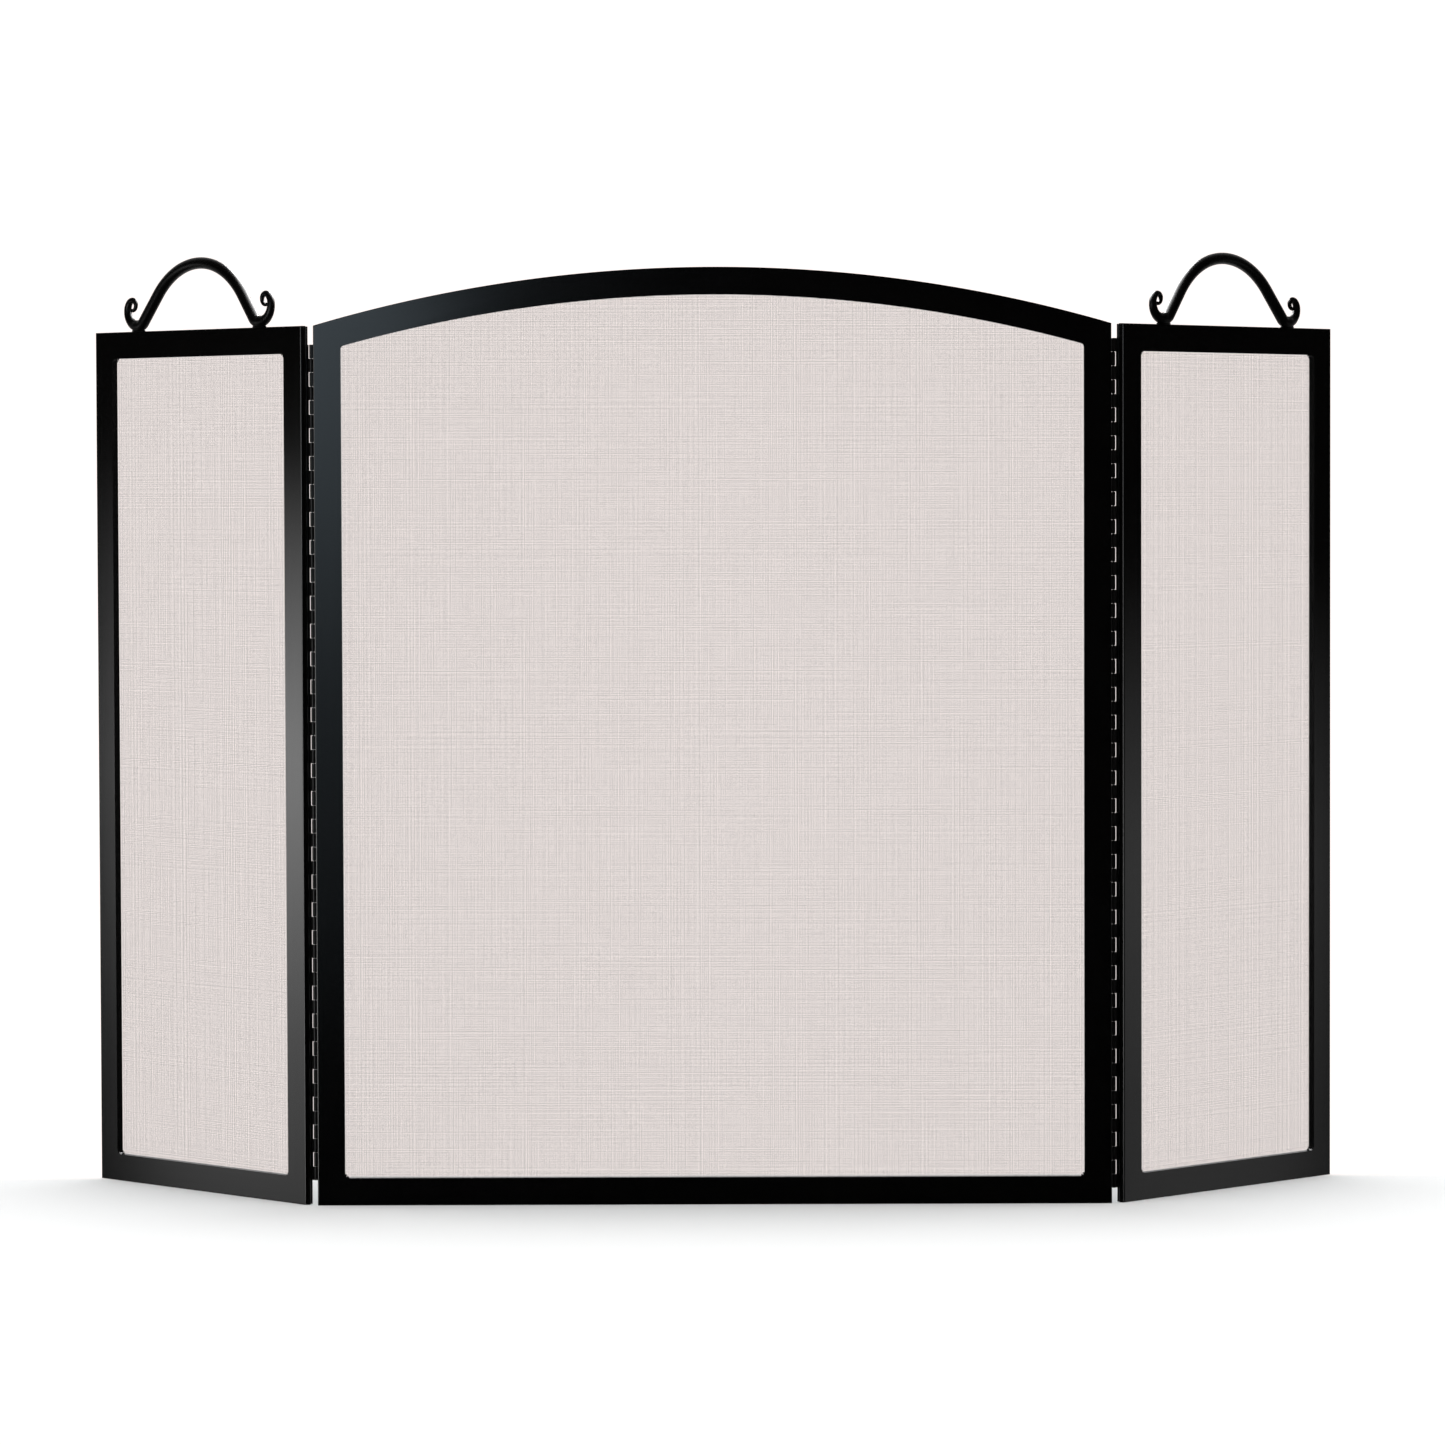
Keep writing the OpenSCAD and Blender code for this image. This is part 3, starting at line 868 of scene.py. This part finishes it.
# Screws of a wing's outer strip, from its middle
OUTER_SCREWS_Z = (-0.3, -0.15, 0.0, 0.15, 0.3)


def leaf_places(side, u, screws):
    """Places (u, z) of a leaf's screws, all at one u."""
    low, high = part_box(f"{side}_hinge_side_leaf")
    middle = (low.z + high.z) / 2
    return [(u, middle + (i - (screws - 1) / 2) * LEAF_PITCH) for i in range(screws)]


def strip_places(us, panel):
    """Places (u, z) of the screws of a panel's bottom and top strips."""
    return [(u, z) for u in us for z in (STRIP_LINE, panel.top(u, STRIP_LINE))]


centre_us = [centre.width / 2 + u for u in CENTRE_SCREWS_U]
build_screws("centre_strip_screws", centre, strip_places(centre_us, centre), BACK_V, screw,
             screw_paint)
for side, panel in wings.items():
    centre_line = LEAF_LINE if side == "left" else centre.width - LEAF_LINE
    build_screws(f"{side}_hinge_centre_screws", centre,
                 leaf_places(side, centre_line, CENTRE_LEAF_SCREWS),
                 BACK_V + LEAF_T, screw, screw_paint)
    build_screws(f"{side}_hinge_side_screws", panel,
                 leaf_places(side, LEAF_LINE, WING_LEAF_SCREWS),
                 BACK_V + LEAF_T, screw, screw_paint)
    outer = [(panel.width - STRIP_LINE, panel.height / 2 + z) for z in OUTER_SCREWS_Z]
    build_screws(f"{side}_strip_screws", panel, strip_places(WING_SCREWS_U, panel) + outer,
                 BACK_V, screw, screw_paint)


# ---- Floor, world and lights ----

# What shines white behind the screen. It is over 1 so that it clips to plain white where
# nothing is in front, and its warmth shows only through the mesh.
BACKDROP = (1.165, 1.071, 1.04)
# The overhead light is warm too. The floor evens that out, so that its shadows are plain grey.
FLOOR = (0.755, 0.825, 0.85)
OVERHEAD = (1.0, 0.915, 0.885)
OVERHEAD_ENERGY = 4.05
OVERHEAD_SPREAD = math.radians(50)
# Where the floor fades into the backdrop: how far behind the origin, and how far out from it
FLOOR_FADE = (0.20, 0.25)
FLOOR_RIM = (1.0, 1.7)
# How far behind the screen a direction points where the world turns from dark to bright
WORLD_FADE = (0.35, 0.7)


def add_fade(nodes, limits):
    """A smooth step from 0 to 1 between two values."""
    fade = add_node(nodes, "ShaderNodeMapRange", interpolation_type="SMOOTHSTEP")
    fade.inputs["From Min"].default_value, fade.inputs["From Max"].default_value = limits
    return fade


def build_floor():
    """A plain white floor. Behind the screen, and far out all round, it fades into the same
    white as the backdrop, so that no horizon shows through the mesh. Reflections leave it
    out, as the bars in the photograph do."""
    bm = bmesh.new()
    bmesh.ops.create_grid(bm, x_segments=8, y_segments=8, size=5.0)
    floor = object_from("floor", bm)
    material, nodes, links, bsdf = shader("white_floor", FLOOR, 0.9)
    bsdf.inputs["Specular IOR Level"].default_value = 0.0
    bsdf.inputs["Emission Color"].default_value = (*BACKDROP, 1)
    place = add_node(nodes, "ShaderNodeTexCoord")
    parts = add_node(nodes, "ShaderNodeSeparateXYZ")
    fade = add_fade(nodes, FLOOR_FADE)
    reach = add_node(nodes, "ShaderNodeVectorMath", operation="LENGTH")
    rim = add_fade(nodes, FLOOR_RIM)
    shine = add_node(nodes, "ShaderNodeMath", operation="MAXIMUM")
    paint = add_node(nodes, "ShaderNodeMix", data_type="RGBA")
    paint.inputs["A"].default_value = (*FLOOR, 1)
    paint.inputs["B"].default_value = (0, 0, 0, 1)
    links.new(place.outputs["Object"], parts.inputs["Vector"])
    links.new(parts.outputs["Y"], fade.inputs["Value"])
    links.new(place.outputs["Object"], reach.inputs["Vector"])
    links.new(reach.outputs["Value"], rim.inputs["Value"])
    links.new(fade.outputs["Result"], shine.inputs[0])
    links.new(rim.outputs["Result"], shine.inputs[1])
    links.new(shine.outputs["Value"], bsdf.inputs["Emission Strength"])
    links.new(shine.outputs["Value"], paint.inputs["Factor"])
    links.new(paint.outputs["Result"], bsdf.inputs["Base Color"])
    floor.data.materials.append(material)
    floor.visible_glossy = False


def set_world():
    """White to the camera. To the object it is bright behind and dark in front and beside."""
    world = bpy.data.worlds.new("studio")
    bpy.context.scene.world = world
    world.use_nodes = True
    nodes, links = world.node_tree.nodes, world.node_tree.links
    nodes.clear()
    out = add_node(nodes, "ShaderNodeOutputWorld")
    place = add_node(nodes, "ShaderNodeTexCoord")
    parts = add_node(nodes, "ShaderNodeSeparateXYZ")
    links.new(place.outputs["Generated"], parts.inputs["Vector"])
    fade = add_fade(nodes, WORLD_FADE)
    links.new(parts.outputs["Y"], fade.inputs["Value"])
    light = add_node(nodes, "ShaderNodeBackground")
    links.new(fade.outputs["Result"], light.inputs["Strength"])
    seen = add_node(nodes, "ShaderNodeBackground", Strength=1.0)
    seen.inputs["Color"].default_value = (*BACKDROP, 1)
    rays = add_node(nodes, "ShaderNodeLightPath")
    mix = add_node(nodes, "ShaderNodeMixShader")
    links.new(rays.outputs["Is Camera Ray"], mix.inputs["Fac"])
    links.new(light.outputs["Background"], mix.inputs[1])
    links.new(seen.outputs["Background"], mix.inputs[2])
    links.new(mix.outputs["Shader"], out.inputs["Surface"])


def new_light(name, kind, place, target):
    """A lamp at a place that faces a target. The camera doesn't see it."""
    data = bpy.data.lights.new(name, kind)
    lamp = bpy.data.objects.new(name, data)
    bpy.context.scene.collection.objects.link(lamp)
    lamp.location = place
    lamp.rotation_euler = (Vector(target) - Vector(place)).to_track_quat("-Z", "Y").to_euler()
    lamp.visible_camera = False
    return lamp


def softbox(name, place, target, size, radiance, colour=(1, 1, 1), fade=None):
    """A rectangular light that only shows as a reflection. radiance is its face's brightness,
    and fade gives the parts of that at its bottom, at a third, at two thirds and at its top."""
    lamp = new_light(name, "AREA", place, target)
    lamp.data.shape = "RECTANGLE"
    lamp.data.size, lamp.data.size_y = size
    lamp.data.energy = radiance * math.pi * size[0] * size[1]
    lamp.data.color = colour
    lamp.visible_diffuse = False
    if fade is None:
        return
    lamp.data.use_nodes = True
    nodes, links = lamp.data.node_tree.nodes, lamp.data.node_tree.links
    face = add_node(nodes, "ShaderNodeNewGeometry")
    parts = add_node(nodes, "ShaderNodeSeparateXYZ")
    ramp = add_node(nodes, "ShaderNodeValToRGB")
    stops = ramp.color_ramp.elements
    for i, part in enumerate(fade):
        stop = stops[0] if i == 0 else stops[-1] if i == 3 else stops.new(i / 3)
        stop.color = (part, part, part, 1)
    links.new(face.outputs["Parametric"], parts.inputs["Vector"])
    links.new(parts.outputs["Y"], ramp.inputs["Fac"])
    links.new(ramp.outputs["Color"], nodes["Emission"].inputs["Strength"])


def overhead_light():
    """Even light from straight above for the floor. It leaves no highlights."""
    lamp = new_light("overhead", "SUN", (0, 0, 4), (0, 0, 0))
    lamp.data.energy = OVERHEAD_ENERGY
    lamp.data.angle = OVERHEAD_SPREAD
    lamp.data.color = OVERHEAD
    lamp.visible_glossy = False


build_floor()
set_world()
overhead_light()
# Each box's name, place, target, size, brightness and colour. The side boxes reach below the
# floor: the bars' low ends mirror them through it.
softbox("left_low_box", (-1.67, 0.193, 0.195), (0, 0.193, 0.195), (0.30, 0.99), 3.8,
        fade=(0.11, 0.33, 1.0, 0.0))
softbox("right_low_box", (1.67, 0.225, 0.09), (0, 0.225, 0.09), (0.31, 0.92), 0.66,
        fade=(0.85, 0.72, 1.0, 0.0))
softbox("front_left_box", (-0.64, -1.5, 0.675), (-0.64, 0, 0.675), (0.6, 1.35), 2.4,
        (0.72, 0.88, 1.0), fade=(0.0, 0.17, 0.75, 1.0))
softbox("handle_box", (0, 0.5, 1.2), (0, 0.5, 0), (0.7, 1.1), 26.0, fade=(0.4, 1.0, 1.0, 1.0))
softbox("edge_box", (-2.0, -1.6, 0.35), (0, 0, 0.35), (1.3, 1.3), 8.0,
        fade=(0.8, 1.0, 0.6, 0.4))

scene = bpy.context.scene
scene.view_settings.view_transform = "Standard"
scene.view_settings.look = "None"
